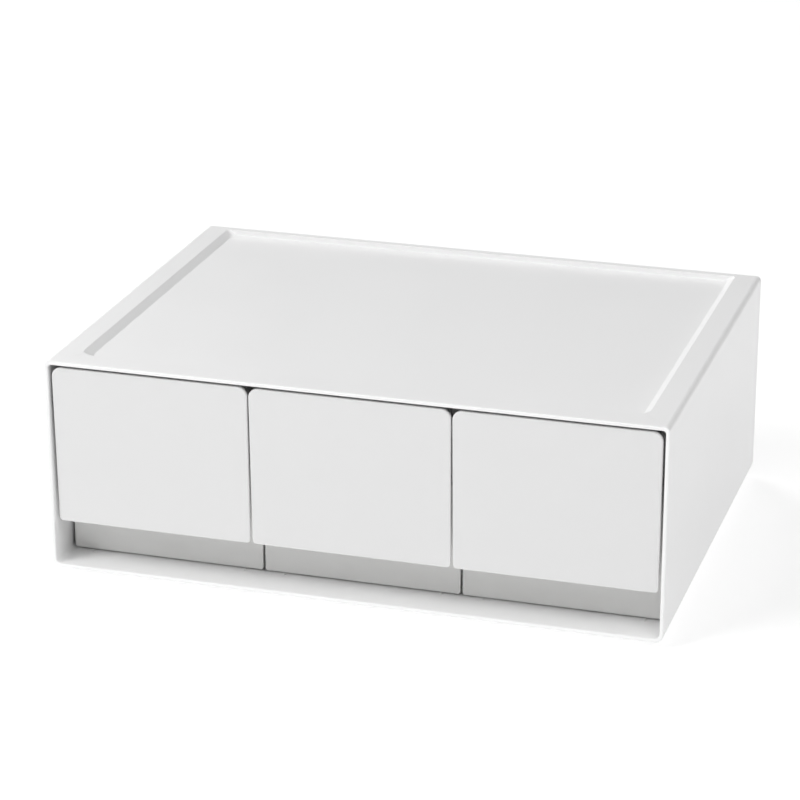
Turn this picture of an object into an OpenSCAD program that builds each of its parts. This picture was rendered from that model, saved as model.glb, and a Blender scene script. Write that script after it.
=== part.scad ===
// Stackable drawer box: a moulded sleeve with a stacking recess on top, a clipped-in back,
// two partitions, three sliding drawers with clip-on fronts, and four rubber feet.
// Millimetres. Built from the front plane of the case (y = 0) and its underside (z = 0),
// then placed so that the origin is under the middle of the box, at the foot of its feet.

/* [Case] */
// Outside width of the case
case_w = 270; // [225:1:330]
// Outside depth of the case, front edge to back edge
case_d = 199.2; // [150:0.2:260]
// Outside height of the case without its feet
case_h = 95.1; // [80:0.1:140]
// Thickness of every case wall
case_wall = 1.8; // [1.6:0.1:2.6]
// Radius of the two long outside edges at the top
case_top_r = 2.4; // [2:0.1:5]
// Radius of the two long outside edges at the bottom
case_low_r = 4; // [3:0.1:5]
// Radius of the two long inside edges at the top
mouth_top_r = 1.4; // [0.8:0.1:3]
// Rounding of the case's front and back rims
case_edge_r = 0.6; // [0.3:0.1:0.8]

/* [Stacking recess] */
// Depth of the recess in the top
recess_depth = 2.4; // [1.6:0.1:3.5]
// Width of the rim left along each side
recess_side_rim = 11.5; // [9:0.1:20]
// Width of the rim left along the front
recess_front_rim = 11.8; // [9:0.2:20]
// Width of the rim left along the back
recess_back_rim = 4; // [2.6:0.2:8]
// Horizontal width of the sloped sides of the recess
recess_slope_w = 3.3; // [1:0.1:5]
// Plan radius of the recess's two front corners
recess_front_r = 6; // [3:0.5:10]
// Plan radius of the recess's two back corners
recess_back_r = 2; // [1:0.5:6]

/* [Drawer fronts] */
// Gap between the recessed faces of neighbouring drawers
face_gap = 1; // [0.8:0.1:1.6]
// Gap between an outer drawer's recessed face and the case wall
wall_gap = 1.4; // [0.8:0.1:2]
// Gap between neighbouring front panels
panel_gap = 0.6; // [0.4:0.1:1.2]
// Gap between the panels' top edge and the case
panel_top_gap = 1.2; // [0.6:0.1:2]
// How far the top of the panels lies behind the front plane of the case
panel_inset = 0.9; // [0.4:0.1:3]
// Lean of the panels, bottom edge further in
panel_lean = 1.26; // [0:0.02:2]
// How much further in each side of a panel lies at its bottom edge
panel_draft = 0.2; // [0:0.05:0.4]
// Thickness of the panels
panel_t = 1.8; // [1.6:0.1:3]
// Radius of the panels' top corners
panel_top_r = 4.2; // [2:0.1:6]
// Radius of the panels' bottom corners
panel_low_r = 1.8; // [1.4:0.1:5]
// Rounding of the panels' front edges
panel_edge_r = 0.5; // [0.3:0.1:1.2]
// Height of the finger opening between the case floor and the panels
pull_h = 19.4; // [15:0.1:26]
// Depth of the finger opening, from the case front to the recessed face
pull_d = 18.1; // [15:0.1:24]

/* [Drawer trays] */
// Gap under the drawers
tray_lift = 0.6; // [0.5:0.1:1.6]
// Gap between a tray's lip and the partition beside it
tray_side_gap = 0.6; // [0.4:0.1:1.2]
// Height of the tray's lip below the case ceiling
tray_rim_drop = 7.2; // [6:0.2:20]
// Thickness of the tray walls
tray_wall = 1.6; // [1.2:0.1:2.2]
// Thickness of the tray floor
tray_floor = 1.8; // [1.4:0.1:2.6]
// Thickness of the tray's front wall
face_t = 2; // [1.8:0.1:2.6]
// Outside radius of the tray's corners and bottom edges
tray_r = 5; // [4:0.5:8]
// Draft of each tray wall, bottom to top
tray_draft = 0.7; // [0:0.1:1.2]
// How far the tray's lip stands out from its wall
tray_lip_out = 0.7; // [0.4:0.1:1.2]
// Height of the tray's lip
tray_lip_h = 2.5; // [1.5:0.1:5]
// Gap behind a closed tray
tray_back_gap = 1.2; // [0.8:0.1:4]

/* [Partitions, back and feet] */
// Thickness of the two partitions
divider_t = 1.6; // [1.2:0.1:2]
// Thickness of the back panel
back_t = 2; // [1.6:0.1:3]
// How far the back panel lies inside the case's back edge
back_inset = 2; // [1.8:0.1:4]
// Diameter of the rubber feet
foot_d = 12; // [8:0.5:20]
// Height of the rubber feet below the case
foot_h = 3; // [2.4:0.1:6]
// How deep each foot sits in the underside of the case
foot_seat = 0.6; // [0.3:0.1:1]

/* [Hidden] */

over = 1;             // how far a cutting shape runs past what it cuts
round_fn = 32;        // facets of a full turn on rounded shapes
round_step = 22.5;    // angle between the points of a rounded edge
sliver = 0.01;        // thickness of the slices that a hull is drawn between
root = 0.4;           // how deep a rib or bead reaches into the wall that carries it

// Case: inside measures
inner_w = case_w - 2 * case_wall;
rim_ceiling_z = case_h - case_wall;
ceiling_z = rim_ceiling_z - recess_depth;
slope_shift = case_wall * tan(atan2(recess_depth, recess_slope_w) / 2);
recess_half_w = case_w / 2 - recess_side_rim;
mouth_chamfer = 0.4;  // bevel round the inside of the front opening
mouth_low_r = case_low_r - case_wall;

// Drawers: three across the inside of the case
face_w = (inner_w - 2 * wall_gap - 2 * face_gap) / 3;
pitch = face_w + face_gap;
panel_w = pitch - panel_gap;
panel_top_z = rim_ceiling_z - panel_top_gap;
panel_bottom_z = case_wall + pull_h;
panel_len = (panel_top_z - panel_bottom_z) / cos(panel_lean);
tray_w = pitch - divider_t - 2 * tray_side_gap;
tray_bottom_z = case_wall + tray_lift;
tray_rim_z = ceiling_z - tray_rim_drop;
face_corner_r = 1.1;  // corners of the recessed face
face_edge_r = 0.3;    // rounding of its edges
panel_back_r = 0.4;   // rounding of a panel's back edges

// Back panel and what holds it
back_y = case_d - back_inset - back_t;
back_fit = 0.15;      // clearance round the back panel
catch_gap = 0.1;      // play of the back panel between its ledges and beads
catch_w = 10;
side_catches = 2;     // catches on each side wall
ledge_d = 1.5;
ledge_h = 1.5;
ledge_y = back_y - catch_gap - ledge_d;
bead_d = 1.4;
bead_top = 0.4;       // flat top of a bead, before its lead-in slope
bead_h = 0.6;
rib_clear = 2;        // from the channels and guides to the ledges behind them
rib_end_y = ledge_y - rib_clear;
tray_back_y = ledge_y - tray_back_gap;

// Partitions and the channels that hold them
divider_clear = 1.5;  // from the drawers' front walls to the partitions
divider_y = pull_d + face_t + divider_clear;
divider_fit = 0.15;   // clearance on each side of a partition
divider_lead = 4;     // lead-in bevel at its front corners
channel_t = 1.2;
channel_off = divider_t / 2 + divider_fit + channel_t / 2;
channel_floor_h = 1.5;
channel_ceiling_h = 2;
fork_d = 3;           // depth of the back panel's forks
fork_end = 4;         // from the floor or ceiling channels to a fork

// Floor rails that carry the drawers
rail_w = 1.5;
rail_clear = 0.3;     // running gap between a rail and its drawer
rail_h = tray_lift - rail_clear;
rail_inset = 8.5;     // from the side of a recessed face to a rail
rail_reach = 4.5;     // how far a rail shows in front of the recessed face
rail_ramp = 3;

// Side guides, at the height of the tray's lip
guide_edge = 0.35;    // from the edges of the lip to the edges of a guide
guide_t = tray_lip_h - 2 * guide_edge;
guide_clear = 0.6;
guide_out = (case_w / 2 - case_wall) - (pitch + tray_w / 2) - guide_clear;

// Drawer stops: lugs at the back of a tray meet ribs under the ceiling
stop_y = 48;          // from the case front to the stops: a drawer travels 140 mm
stop_t = 2;
stop_w = 10;
stop_h = 2;
stop_x = 20;
stop_ramp = 3;
lug_w = 8;
lug_t = 2;
lug_clear = 0.8;      // gap between a lug and the ceiling

// Clip-on front: a channel that grips the top of the tray's front wall
clip_rise = 2.6;      // how far that front wall stands above the tray's lip
clip_seat_z = tray_rim_z + clip_rise;
flange_t = 2;
flange_side = 4;      // from the side of the panel to the flange
leg_t = 1.6;
leg_drop = 34;        // length of the channel's front leg
tab_t = 1.4;
tab_w = 12;
tab_drop = 12;        // from the top of the front wall to a tab's barb
tab_tip = 1;          // how far a tab reaches below its barb
tab_x = 27;
barb_d = 1;
barb_h = 2.6;
barb_clear = 0.2;
gusset_t = 1.4;
gusset_x = 14;
gusset_drop = 20;     // how far down the panel a gusset reaches
gusset_foot = 2;      // depth of a gusset's foot, on the channel's leg

// Feet, placed to drop into the recess of the box below
foot_clear = 1;
foot_seat_gap = 0.2;
foot_bevel = 0.6;
foot_fn = 64;         // facets of a full turn on the feet and their seats
foot_x = recess_half_w - recess_slope_w - foot_clear - foot_d / 2;
foot_front_y = recess_front_rim + recess_slope_w + foot_clear + foot_d / 2;
foot_back_y = case_d - recess_back_rim - foot_clear - foot_d / 2;

// ---- Helpers ----

// Puts a piece from the case's own corner frame into the part's frame
module placed() {
    translate([0, -case_d / 2, foot_h]) children();
}

// Rectangle centred on x and standing on y = 0, its corners rounded by r_low and r_top
module round_rect(w, h, r_low, r_top) {
    translate([-w / 2 + r_low, 0]) square([w - 2 * r_low, h / 2]);
    translate([-w / 2, r_low]) square([w, h - r_low - r_top]);
    translate([-w / 2 + r_top, h / 2]) square([w - 2 * r_top, h / 2]);
    for (side = [-1, 1]) {
        translate([side * (w / 2 - r_low), r_low]) circle(r_low, $fn = round_fn);
        translate([side * (w / 2 - r_top), h - r_top]) circle(r_top, $fn = round_fn);
    }
}

// Extrudes an x-z outline from y to y + len
module along_y(y, len) {
    translate([0, y + len, 0]) rotate([90, 0, 0]) linear_extrude(len) children();
}

// Extrudes a y-z outline along x, centred on x
module along_x(x, len) {
    translate([x - len / 2, 0, 0]) rotate([90, 0, 90]) linear_extrude(len) children();
}

// Outline of a round bar with its two ends rounded by e0 and e1
function bar_outline(r, len, e0, e1) = concat(
    [[0, 0]],
    [for (a = [0:round_step:90]) [r - e0 + e0 * sin(a), e0 - e0 * cos(a)]],
    [for (a = [0:round_step:90]) [r - e1 + e1 * cos(a), len - e1 + e1 * sin(a)]],
    [[0, len]]
);

// Round bar along y through x and z, its front end rounded by e0 and its back end by e1
module soft_bar(x, z, len, r, e0, e1) {
    translate([x, 0, z]) rotate([-90, 0, 0])
        rotate_extrude($fn = round_fn) polygon(bar_outline(r, len, e0, e1));
}

// Slab standing on z = 0 with its corners rounded by r_low and r_top, its front and back by e
module soft_slab(w, h, len, r_low, r_top, e) {
    hull()
        for (side = [-1, 1]) {
            soft_bar(side * (w / 2 - r_low), r_low, len, r_low, e, e);
            soft_bar(side * (w / 2 - r_top), h - r_top, len, r_top, e, e);
        }
}

// ---- Case ----

// Outline of the opening inside the case, drawn in by c
module mouth_outline(c) {
    translate([0, case_wall + c])
        round_rect(inner_w - 2 * c, rim_ceiling_z - case_wall - 2 * c, mouth_low_r - c,
            mouth_top_r - c);
}

// The same outline below the recess, where the ceiling hangs lower
module bay_outline(c) {
    half = recess_half_w - recess_slope_w + slope_shift + c;
    rise = recess_depth + c + over;
    run = rise * recess_slope_w / recess_depth;
    difference() {
        mouth_outline(c);
        polygon([
            [-half, ceiling_z - c], [half, ceiling_z - c],
            [half + run, ceiling_z - c + rise], [-half - run, ceiling_z - c + rise]
        ]);
    }
}

// Room behind the front rim, which is as high as the opening itself
module front_room() {
    y_top = recess_front_rim - slope_shift;
    y_low = y_top + recess_slope_w;
    intersection() {
        along_y(-over, y_low + over) mouth_outline(0);
        along_x(0, case_w) polygon([
            [-over, 0], [y_low, 0], [y_low, ceiling_z],
            [y_top, rim_ceiling_z], [y_top, case_h], [-over, case_h]
        ]);
    }
}

// Outline of the recess in plan, drawn in by s at the sides and the front
module recess_plan(s) {
    w = 2 * (recess_half_w - s);
    y0 = recess_front_rim + s;
    y1 = case_d - recess_back_rim;
    rf = recess_front_r;
    rb = recess_back_r;
    hull() {
        for (x = [-1, 1]) {
            translate([x * (w / 2 - rf), y0 + rf]) circle(rf, $fn = round_fn);
            translate([x * (w / 2 - rb), y1 - rb]) circle(rb, $fn = round_fn);
        }
    }
}

// The stacking recess: sloped at the sides and front, upright at the back
module recess_cut() {
    hull() {
        translate([0, 0, case_h - recess_depth])
            linear_extrude(sliver) recess_plan(recess_slope_w);
        translate([0, 0, case_h]) linear_extrude(over) recess_plan(0);
    }
}

// Bevel round the inside of the front opening
module mouth_bevel() {
    hull() {
        along_y(-over, over) mouth_outline(-mouth_chamfer);
        along_y(mouth_chamfer - sliver, sliver) mouth_outline(0);
    }
}

// One ledge and one bead that hold the back panel, on a wall turned by angle
module back_catch(x, z, angle) {
    bead_y = back_y + back_t + catch_gap;
    translate([x, 0, z]) rotate([0, angle, 0]) along_x(0, catch_w) {
        translate([ledge_y, -root]) square([ledge_d, ledge_h + root]);
        polygon([
            [bead_y, -root], [bead_y, bead_h], [bead_y + bead_top, bead_h],
            [bead_y + bead_d, 0], [bead_y + bead_d, -root]
        ]);
    }
}

module back_catches() {
    side_step = (ceiling_z - case_wall) / (side_catches + 1);
    for (bay = [-1:1]) {
        back_catch(bay * pitch, case_wall, 0);
        back_catch(bay * pitch, ceiling_z, 180);
    }
    for (k = [1:side_catches], side = [-1, 1])
        back_catch(side * inner_w / 2, case_wall + k * side_step, -side * 90);
}

// Two rails on the floor under each drawer, ramped at the front
module floor_rails() {
    y0 = pull_d - rail_reach;
    for (bay = [-1:1], side = [-1, 1])
        translate([0, 0, case_wall])
            along_x(bay * pitch + side * (face_w / 2 - rail_inset), rail_w)
                polygon([
                    [y0, -root], [y0, 0], [y0 + rail_ramp, rail_h],
                    [ledge_y, rail_h], [ledge_y, -root]
                ]);
}

// Channels in floor and ceiling that hold the partitions
module divider_channels() {
    y0 = divider_y + divider_lead;
    for (line = [-1, 1], side = [-1, 1]) {
        translate([line * pitch / 2 + side * channel_off, y0, 0]) {
            translate([-channel_t / 2, 0, case_wall - root])
                cube([channel_t, rib_end_y - y0, channel_floor_h + root]);
            translate([-channel_t / 2, 0, ceiling_z - channel_ceiling_h])
                cube([channel_t, rib_end_y - y0, channel_ceiling_h + root]);
        }
    }
}

// Low ribs on the side walls that keep the outer drawers in line
module side_guides() {
    for (side = [-1, 1])
        translate([side * (inner_w / 2 - guide_out / 2 + root / 2), divider_y, 0])
            translate([-(guide_out + root) / 2, 0, tray_rim_z - tray_lip_h + guide_edge])
                cube([guide_out + root, rib_end_y - divider_y, guide_t]);
}

// Ribs under the ceiling that stop the drawers, ramped so that a tray can be put in
module stop_ribs() {
    for (bay = [-1:1], side = [-1, 1])
        along_x(bay * pitch + side * stop_x, stop_w) polygon([
            [stop_y - stop_ramp, ceiling_z + root], [stop_y - stop_ramp, ceiling_z],
            [stop_y, ceiling_z - stop_h], [stop_y + stop_t, ceiling_z - stop_h],
            [stop_y + stop_t, ceiling_z + root]
        ]);
}

module foot_seats() {
    for (x = [-foot_x, foot_x], y = [foot_front_y, foot_back_y])
        translate([x, y, -over])
            cylinder(d = foot_d + 2 * foot_seat_gap, h = foot_seat + over, $fn = foot_fn);
}

module case_shell() {
    color("whitesmoke") placed() {
        difference() {
            soft_slab(case_w, case_h, case_d, case_low_r, case_top_r, case_edge_r);
            along_y(-over, case_d + 2 * over) bay_outline(0);
            front_room();
            mouth_bevel();
            recess_cut();
            foot_seats();
        }
        back_catches();
        floor_rails();
        divider_channels();
        side_guides();
        stop_ribs();
    }
}

// Plate that closes the back, with a fork for each partition
module back_panel() {
    fork_z0 = case_wall + channel_floor_h + fork_end;
    fork_z1 = ceiling_z - channel_ceiling_h - fork_end;
    color("whitesmoke") placed() {
        along_y(back_y, back_t) bay_outline(back_fit);
        for (line = [-1, 1], side = [-1, 1])
            translate([line * pitch / 2 + side * channel_off - channel_t / 2,
                    back_y - fork_d, fork_z0])
                cube([channel_t, fork_d + back_t / 2, fork_z1 - fork_z0]);
    }
}

// Partition between two drawers
module divider(line) {
    y1 = back_y - catch_gap;
    z1 = ceiling_z - catch_gap;
    color("whitesmoke") placed()
        along_x(line * pitch / 2, divider_t) polygon([
            [divider_y + divider_lead, case_wall], [y1, case_wall], [y1, z1],
            [divider_y + divider_lead, z1], [divider_y, z1 - divider_lead],
            [divider_y, case_wall + divider_lead]
        ]);
}

// ---- Drawers ----

// Tub shape with a rounded bottom, r at its corners, from y0 to y1 and z0 to z1
module tub(w, y0, y1, z0, z1, r) {
    d = tray_draft;
    hull()
        for (side = [-1, 1]) {
            for (y = [y0 + r, y1 - r - d])
                translate([side * (w / 2 - r - d), y, z0 + r]) sphere(r, $fn = round_fn);
            for (y = [y0 + r, y1 - r])
                translate([side * (w / 2 - r), y, z1 - over])
                    cylinder(r = r, h = over, $fn = round_fn);
        }
}

// Lip round the top of the tub, in plan
module lip_plan() {
    r = tray_r + tray_lip_out;
    y0 = pull_d + face_t / 2;
    translate([0, y0]) round_rect(tray_w, tray_back_y - y0, r, r);
}

module drawer_tray(bay) {
    tub_w = tray_w - 2 * tray_lip_out;
    cavity_y = pull_d + face_t;
    color("white") placed() translate([bay * pitch, 0, 0]) {
        difference() {
            union() {
                tub(tub_w, pull_d + face_t / 2, tray_back_y - tray_lip_out,
                    tray_bottom_z, tray_rim_z, tray_r);
                translate([0, 0, tray_rim_z - tray_lip_h]) linear_extrude(tray_lip_h) lip_plan();
                translate([0, pull_d, tray_bottom_z])
                    soft_slab(face_w, clip_seat_z - tray_bottom_z, face_t, face_corner_r,
                        face_corner_r, face_edge_r);
            }
            tub(tub_w - 2 * tray_wall, cavity_y, tray_back_y - tray_lip_out - tray_wall,
                tray_bottom_z + tray_floor, clip_seat_z + over, tray_r - tray_wall);
            barb_windows();
        }
        stop_lugs();
    }
}

// Windows in the front wall for the barbs of the clip-on front
module barb_windows() {
    for (x = [-tab_x, 0, tab_x])
        translate([x - tab_w / 2 - barb_clear, pull_d + face_t - barb_d - barb_clear,
                clip_seat_z - tab_drop + barb_clear])
            cube([tab_w + 2 * barb_clear, barb_d + barb_clear + over, barb_h + 2 * barb_clear]);
}

// Lugs on the tray's back wall that meet the stop ribs
module stop_lugs() {
    lug_top = ceiling_z - lug_clear;
    foot_z = tray_rim_z - tray_lip_h;
    for (side = [-1, 1])
        translate([side * stop_x - lug_w / 2, tray_back_y - lug_t, foot_z])
            cube([lug_w, lug_t, lug_top - foot_z]);
}

// Front panel: a thin slab that narrows and leans back towards its bottom edge
module front_slab() {
    x_top = panel_w / 2 - panel_top_r;
    x_low = panel_w / 2 - panel_draft - panel_low_r;
    translate([0, panel_inset, panel_top_z]) rotate([panel_lean, 0, 0]) hull()
        for (side = [-1, 1]) {
            soft_bar(side * x_top, -panel_top_r, panel_t, panel_top_r, panel_edge_r, panel_back_r);
            soft_bar(side * x_low, -panel_len + panel_low_r, panel_t, panel_low_r,
                panel_edge_r, panel_back_r);
        }
}

// Channel behind the panel that drops over the tray's front wall
module clip_channel() {
    w = panel_w - 2 * flange_side;
    barb_z = clip_seat_z - tab_drop + 2 * barb_clear;
    tip_z = clip_seat_z - tab_drop - tab_tip;
    y_panel = panel_inset + panel_t / 2;
    y_leg = pull_d - leg_t;
    y_tab = pull_d + face_t;
    top = clip_seat_z + flange_t;
    translate([-w / 2, y_panel, clip_seat_z]) cube([w, y_tab + tab_t - y_panel, flange_t]);
    translate([-w / 2, y_leg, clip_seat_z - leg_drop]) cube([w, leg_t, top - clip_seat_z + leg_drop]);
    for (x = [-tab_x, 0, tab_x])
        along_x(x, tab_w) polygon([
            [y_tab, top], [y_tab, barb_z + barb_h], [y_tab - barb_d, barb_z + barb_h],
            [y_tab, barb_z], [y_tab, tip_z], [y_tab + tab_t, tip_z], [y_tab + tab_t, top]
        ]);
}

// Gussets that stiffen the panel against the channel
module gussets() {
    w = panel_w - 2 * flange_side;
    z0 = clip_seat_z - leg_drop;
    z1 = clip_seat_z + flange_t / 2;
    z_panel = clip_seat_z - gusset_drop;
    y0 = panel_inset + panel_t / 2;
    y_low = y0 + (panel_top_z - z_panel) * tan(panel_lean);
    y1 = pull_d - leg_t / 2;
    for (x = [-w / 2 + gusset_t / 2, -gusset_x, gusset_x, w / 2 - gusset_t / 2])
        along_x(x, gusset_t)
            polygon([[y0, z1], [y_low, z_panel], [y1 - gusset_foot, z0], [y1, z0], [y1, z1]]);
}

module drawer_front(bay) {
    color("whitesmoke") placed() translate([bay * pitch, 0, 0]) {
        front_slab();
        clip_channel();
        gussets();
    }
}

// ---- Feet ----

module foot(x, y) {
    color("gainsboro") placed() translate([x, y, -foot_h]) {
        cylinder(d1 = foot_d - 2 * foot_bevel, d2 = foot_d, h = foot_bevel, $fn = foot_fn);
        translate([0, 0, foot_bevel])
            cylinder(d = foot_d, h = foot_h + foot_seat - foot_bevel, $fn = foot_fn);
    }
}

case_shell();
back_panel();
divider(-1);  // divider_left
divider(1);  // divider_right
drawer_tray(-1);  // drawer_left_tray
drawer_tray(0);  // drawer_middle_tray
drawer_tray(1);  // drawer_right_tray
drawer_front(-1);  // drawer_left_front
drawer_front(0);  // drawer_middle_front
drawer_front(1);  // drawer_right_front
foot(-foot_x, foot_front_y);  // foot_front_left
foot(foot_x, foot_front_y);  // foot_front_right
foot(-foot_x, foot_back_y);  // foot_back_left
foot(foot_x, foot_back_y);  // foot_back_right
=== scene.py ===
import math
import bpy
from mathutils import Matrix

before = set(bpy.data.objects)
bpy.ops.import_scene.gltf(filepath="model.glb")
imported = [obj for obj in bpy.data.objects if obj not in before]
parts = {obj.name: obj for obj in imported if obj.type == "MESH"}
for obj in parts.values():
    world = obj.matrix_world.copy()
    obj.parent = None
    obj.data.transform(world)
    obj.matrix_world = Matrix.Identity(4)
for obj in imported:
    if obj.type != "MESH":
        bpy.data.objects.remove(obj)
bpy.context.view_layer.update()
scene = bpy.context.scene
mm = 0.001               # metres


# sRGB hex to the linear colour that the shaders work in
def hexToLinear(code):
    values = [int(code[i:i + 2], 16) / 255 for i in (1, 3, 5)]
    linear = [v / 12.92 if v <= 0.04045 else ((v + 0.055) / 1.055) ** 2.4 for v in values]
    return (*linear, 1.0)


# Adds one node, sets what is given and links its inputs
def addNode(tree, kind, settings=None, values=None, links=None):
    node = tree.nodes.new(kind)
    for name, value in (settings or {}).items():
        setattr(node, name, value)
    for name, value in (values or {}).items():
        node.inputs[name].default_value = value
    for name, source in (links or {}).items():
        tree.links.new(source, node.inputs[name])
    return node


print("stage: softened edges")

edgeFinish = {
    "mergeDistance": 0.004 * mm,
    "flatAngle": 0.4,        # degrees under which faces count as one plane
    "bevelAngle": 28,        # degrees from which an edge is broken
    "bevelWidth": {"case": 0.25 * mm, "front": 0.2 * mm, "tray": 0.2 * mm, "foot": 0.3 * mm},
    "bevelSteps": 2,
    "smoothAngle": 42,       # degrees under which an edge is shaded smooth
}


# Geometry nodes that shade smooth across every edge flatter than the angle in degrees
def makeSmoothing(angle):
    tree = bpy.data.node_groups.new("smoothByAngle", "GeometryNodeTree")
    tree.interface.new_socket("Geometry", in_out="INPUT", socket_type="NodeSocketGeometry")
    tree.interface.new_socket("Geometry", in_out="OUTPUT", socket_type="NodeSocketGeometry")
    start = addNode(tree, "NodeGroupInput")
    plain = addNode(tree, "GeometryNodeRemoveAttribute", None, {"Name": "custom_normal"},
                    {"Geometry": start.outputs[0]})
    soft = addNode(tree, "GeometryNodeSetShadeSmooth", {"domain": "FACE"},
                   {"Shade Smooth": True}, {"Geometry": plain.outputs[0]})
    edge = addNode(tree, "GeometryNodeInputMeshEdgeAngle")
    sharp = addNode(tree, "FunctionNodeCompare", {"data_type": "FLOAT", "operation": "GREATER_THAN"},
                    {"B": math.radians(angle)}, {"A": edge.outputs["Unsigned Angle"]})
    hard = addNode(tree, "GeometryNodeSetShadeSmooth", {"domain": "EDGE"},
                   {"Shade Smooth": False},
                   {"Geometry": soft.outputs[0], "Selection": sharp.outputs[0]})
    addNode(tree, "NodeGroupOutput", None, None, {"Geometry": hard.outputs[0]})
    return tree


smoothing = makeSmoothing(edgeFinish["smoothAngle"])


# Breaks the sharp edges of one piece, as the mould's own radii do
def softenEdges(part, kind):
    weld = part.modifiers.new("weld", "WELD")
    weld.merge_threshold = edgeFinish["mergeDistance"]
    planar = part.modifiers.new("planes", "DECIMATE")
    planar.decimate_type = "DISSOLVE"
    planar.angle_limit = math.radians(edgeFinish["flatAngle"])
    # Plain triangles, so that a bevelled ring such as a tray's lip keeps its hole open
    part.modifiers.new("triangles", "TRIANGULATE")
    bevel = part.modifiers.new("brokenEdges", "BEVEL")
    bevel.width = edgeFinish["bevelWidth"][kind]
    bevel.segments = edgeFinish["bevelSteps"]
    bevel.limit_method = "ANGLE"
    bevel.angle_limit = math.radians(edgeFinish["bevelAngle"])
    bevel.use_clamp_overlap = False
    shade = part.modifiers.new("smooth", "NODES")
    shade.node_group = smoothing
    flat = part.modifiers.new("flatFaces", "WEIGHTED_NORMAL")
    flat.keep_sharp = True


# The kind of moulding that a piece is, from its name
def kindOf(name):
    if name.startswith("foot"):
        return "foot"
    if name.endswith("_tray"):
        return "tray"
    if name.endswith("_front"):
        return "front"
    return "case"


for name, part in parts.items():
    softenEdges(part, kindOf(name))


print("stage: materials")

# What the surfaces of all the mouldings share
mouldSurface = {
    "cloudDetail": 3.0,
    "cloudRoughness": 0.55,
    "cloudRange": (0.3, 0.7),    # part of the noise that runs from the low to the high roughness
    "grainDetail": 2.0,
    "grainRoughness": 0.6,
    "grainStrength": 0.25,
}

caseAbs = {
    "colour": "#f6f6f6",
    "shade": "#f4f4f4",
    "roughness": (0.34, 0.4),
    "ior": 1.54,
    "grain": 0.45 * mm,          # grain of an etched mould, drawn a little coarse so that it shows
    "grainDepth": 0.012 * mm,
    "cloud": 22.0,               # clouds per metre, each about 45 mm wide
}


# Mottled colour and gloss over a fine moulded grain, for every plastic and rubber piece
def makeMoulded(name, look):
    material = bpy.data.materials.new(name)
    material.use_nodes = True
    tree = material.node_tree
    tree.nodes.clear()
    place = addNode(tree, "ShaderNodeTexCoord").outputs["Object"]
    cloudy = addNode(tree, "ShaderNodeTexNoise", None,
                     {"Scale": look["cloud"], "Detail": mouldSurface["cloudDetail"],
                      "Roughness": mouldSurface["cloudRoughness"]},
                     {"Vector": place})
    colour = addNode(tree, "ShaderNodeMix", {"data_type": "RGBA"}, None,
                     {"Factor": cloudy.outputs["Fac"]})
    colour.inputs["A"].default_value = hexToLinear(look["colour"])
    colour.inputs["B"].default_value = hexToLinear(look["shade"])
    cloudLow, cloudHigh = mouldSurface["cloudRange"]
    glossy, dull = look["roughness"]
    rough = addNode(tree, "ShaderNodeMapRange", None,
                    {"From Min": cloudLow, "From Max": cloudHigh, "To Min": glossy, "To Max": dull},
                    {"Value": cloudy.outputs["Fac"]})
    grain = addNode(tree, "ShaderNodeTexNoise", None,
                    {"Scale": 1 / look["grain"], "Detail": mouldSurface["grainDetail"],
                     "Roughness": mouldSurface["grainRoughness"]},
                    {"Vector": place})
    bump = addNode(tree, "ShaderNodeBump", None,
                   {"Strength": mouldSurface["grainStrength"], "Distance": look["grainDepth"]},
                   {"Height": grain.outputs["Fac"]})
    shader = addNode(tree, "ShaderNodeBsdfPrincipled", None, {"IOR": look["ior"]},
                     {"Base Color": colour.outputs["Result"], "Roughness": rough.outputs["Result"],
                      "Normal": bump.outputs["Normal"]})
    addNode(tree, "ShaderNodeOutputMaterial", None, None, {"Surface": shader.outputs["BSDF"]})
    return material


# Injection-moulded ABS of the case, back and partitions: soft broad gloss, fine satin grain
casePlastic = makeMoulded("satinMouldedAbs", caseAbs)

frontAbsPaintedShade = {
    # greyer than the case's white: painted shade on the front panels, not a different plastic colour
    "colour": "#e0e0e0",
    "shade": "#dedede",
    "roughness": (0.38, 0.44),
    "ior": 1.54,
    "grain": 0.5 * mm,
    "grainDepth": 0.012 * mm,
    "cloud": 30.0,
}

# ABS of the clip-on fronts: a little rougher than the case, and darker grey than it as painted shade
# on the upright panels
frontPlasticPaintedShade = makeMoulded("mattMouldedAbsWithPaintedShade", frontAbsPaintedShade)

trayPp = {
    "colour": "#ededec",
    "shade": "#eaeae8",
    "roughness": (0.44, 0.52),
    "ior": 1.49,
    "grain": 0.7 * mm,
    "grainDepth": 0.015 * mm,
    "cloud": 30.0,
}

# Polypropylene of the drawer trays: waxy, with a wider and duller gloss than the ABS
trayPlastic = makeMoulded("mouldedPolypropylene", trayPp)

footRubber = {
    "colour": "#dcdcd8",
    "shade": "#d2d2ce",
    "roughness": (0.7, 0.8),
    "ior": 1.52,
    "grain": 0.3 * mm,
    "grainDepth": 0.03 * mm,
    "cloud": 120.0,
}

# Pale soft rubber of the feet: nearly no gloss and a powdery surface
softRubber = makeMoulded("paleRubber", footRubber)

finishes = {"case": casePlastic, "front": frontPlasticPaintedShade, "tray": trayPlastic, "foot": softRubber}
for name, part in parts.items():
    for slot in part.material_slots:
        slot.material = finishes[kindOf(name)]


print("stage: table, light and camera")

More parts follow.
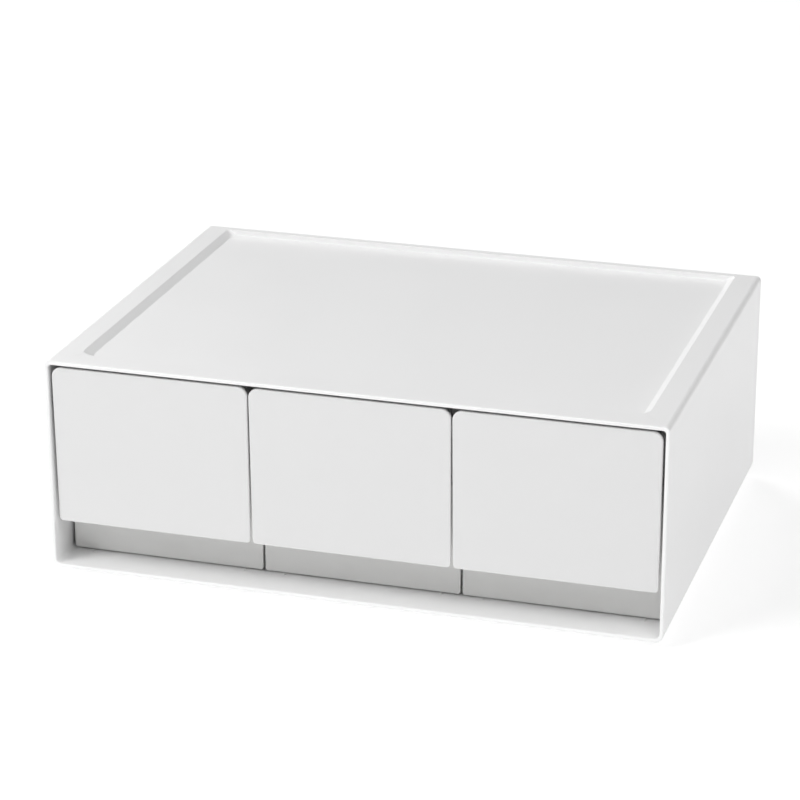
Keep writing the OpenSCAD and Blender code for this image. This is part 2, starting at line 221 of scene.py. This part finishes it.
studio = {
    "tableColour": "#c8c8c8",
    "tableRoughness": 0.9,
    "tableSize": 6.0,
    "tableGlow": 0.55,           # light of its own, as a lit table for product photos has
    "worldColour": "#ffffff",
    "backdrop": {
        "height": (0.09, 0.18),    # sines of 5 and 10 degrees above the horizon
        "strength": (0.62, 0.02),
    },
    # sizes and places in metres, powers in watts
    "lamps": [
        {"name": "keyLeft", "size": (1.4, 1.4), "power": 47.5, "place": (-1.8, -1.8, 2.52)},
        {"name": "keyLow", "size": (1.4, 1.4), "power": 15, "place": (-1.98, -1.98, 1.71)},
        {"name": "fillFront", "size": (1.4, 1.4), "power": 27, "place": (1.62, -1.8, 2.52)},
        {"name": "highFront", "size": (2.2, 1.4), "power": 22, "place": (0.6, -0.9, 3.15)},
        {"name": "upperRight", "size": (1.6, 1.6), "power": 12.5, "place": (2.7, -0.2, 2.1)},
        {"name": "backLeft", "size": (1.8, 1.8), "power": 48, "place": (-2.16, 1.98, 1.8)},
    ],
    "aim": (0.0, 0.0, 0.05),     # the middle of the box
}


# One square that the box stands on, lit from within
def makeTable():
    half = studio["tableSize"] / 2
    corners = [(-half, -half, 0), (half, -half, 0), (half, half, 0), (-half, half, 0)]
    mesh = bpy.data.meshes.new("table")
    mesh.from_pydata(corners, [], [(0, 1, 2, 3)])
    table = bpy.data.objects.new("table", mesh)
    scene.collection.objects.link(table)
    material = bpy.data.materials.new("paleTable")
    material.use_nodes = True
    shader = material.node_tree.nodes["Principled BSDF"]
    shader.inputs["Base Color"].default_value = hexToLinear(studio["tableColour"])
    shader.inputs["Roughness"].default_value = studio["tableRoughness"]
    shader.inputs["Emission Color"].default_value = hexToLinear(studio["worldColour"])
    shader.inputs["Emission Strength"].default_value = studio["tableGlow"]
    mesh.materials.append(material)


# Turns a lamp so that it shines at the target
def aimAt(thing, target):
    away = [thing.location[i] - target[i] for i in range(3)]
    flatLength = math.hypot(away[0], away[1])
    thing.rotation_euler = (math.atan2(flatLength, away[2]), 0, math.atan2(away[0], -away[1]))


def makeLamps():
    for lamp in studio["lamps"]:
        light = bpy.data.lights.new(lamp["name"], "AREA")
        light.shape = "RECTANGLE"
        light.size, light.size_y = lamp["size"]
        light.energy = lamp["power"]
        thing = bpy.data.objects.new(lamp["name"], light)
        thing.location = lamp["place"]
        aimAt(thing, studio["aim"])
        scene.collection.objects.link(thing)
    world = bpy.data.worlds.new("studio")
    scene.world = world
    world.use_nodes = True
    sky = world.node_tree.nodes["Background"]
    sky.inputs["Color"].default_value = hexToLinear(studio["worldColour"])
    # A pale backdrop just above the horizon, which fades into a dim room
    tree = world.node_tree
    place = addNode(tree, "ShaderNodeTexCoord").outputs["Generated"]
    height = addNode(tree, "ShaderNodeSeparateXYZ", None, None, {"Vector": place}).outputs["Z"]
    low, high = studio["backdrop"]["height"]
    bright, dim = studio["backdrop"]["strength"]
    glow = addNode(tree, "ShaderNodeMapRange", None,
                   {"From Min": low, "From Max": high, "To Min": bright, "To Max": dim},
                   {"Value": height})
    tree.links.new(glow.outputs["Result"], sky.inputs["Strength"])


# The photo's viewpoint, fitted to the straight edges of the box
viewpoint = {
    "place": (0.35139, -1.17899, 0.5273),
    "turn": 16.884,              # degrees from straight in front, towards the right
    "tilt": 20.891,              # degrees down from level
    "roll": 0.025,
    "focal": 133.15,
    "sensor": 36.0,
    "shift": (-0.003, 0.0029),
    "clip": (0.05, 50),
}


def makeCamera():
    camera = bpy.data.cameras.new("camera")
    camera.lens = viewpoint["focal"]
    camera.sensor_width = viewpoint["sensor"]
    camera.shift_x, camera.shift_y = viewpoint["shift"]
    camera.clip_start, camera.clip_end = viewpoint["clip"]
    thing = bpy.data.objects.new("camera", camera)
    thing.location = viewpoint["place"]
    thing.rotation_euler = (math.radians(90 - viewpoint["tilt"]), math.radians(viewpoint["roll"]),
                            math.radians(viewpoint["turn"]))
    scene.collection.objects.link(thing)
    scene.camera = thing


makeTable()
makeLamps()
makeCamera()
scene.view_settings.view_transform = "Standard"
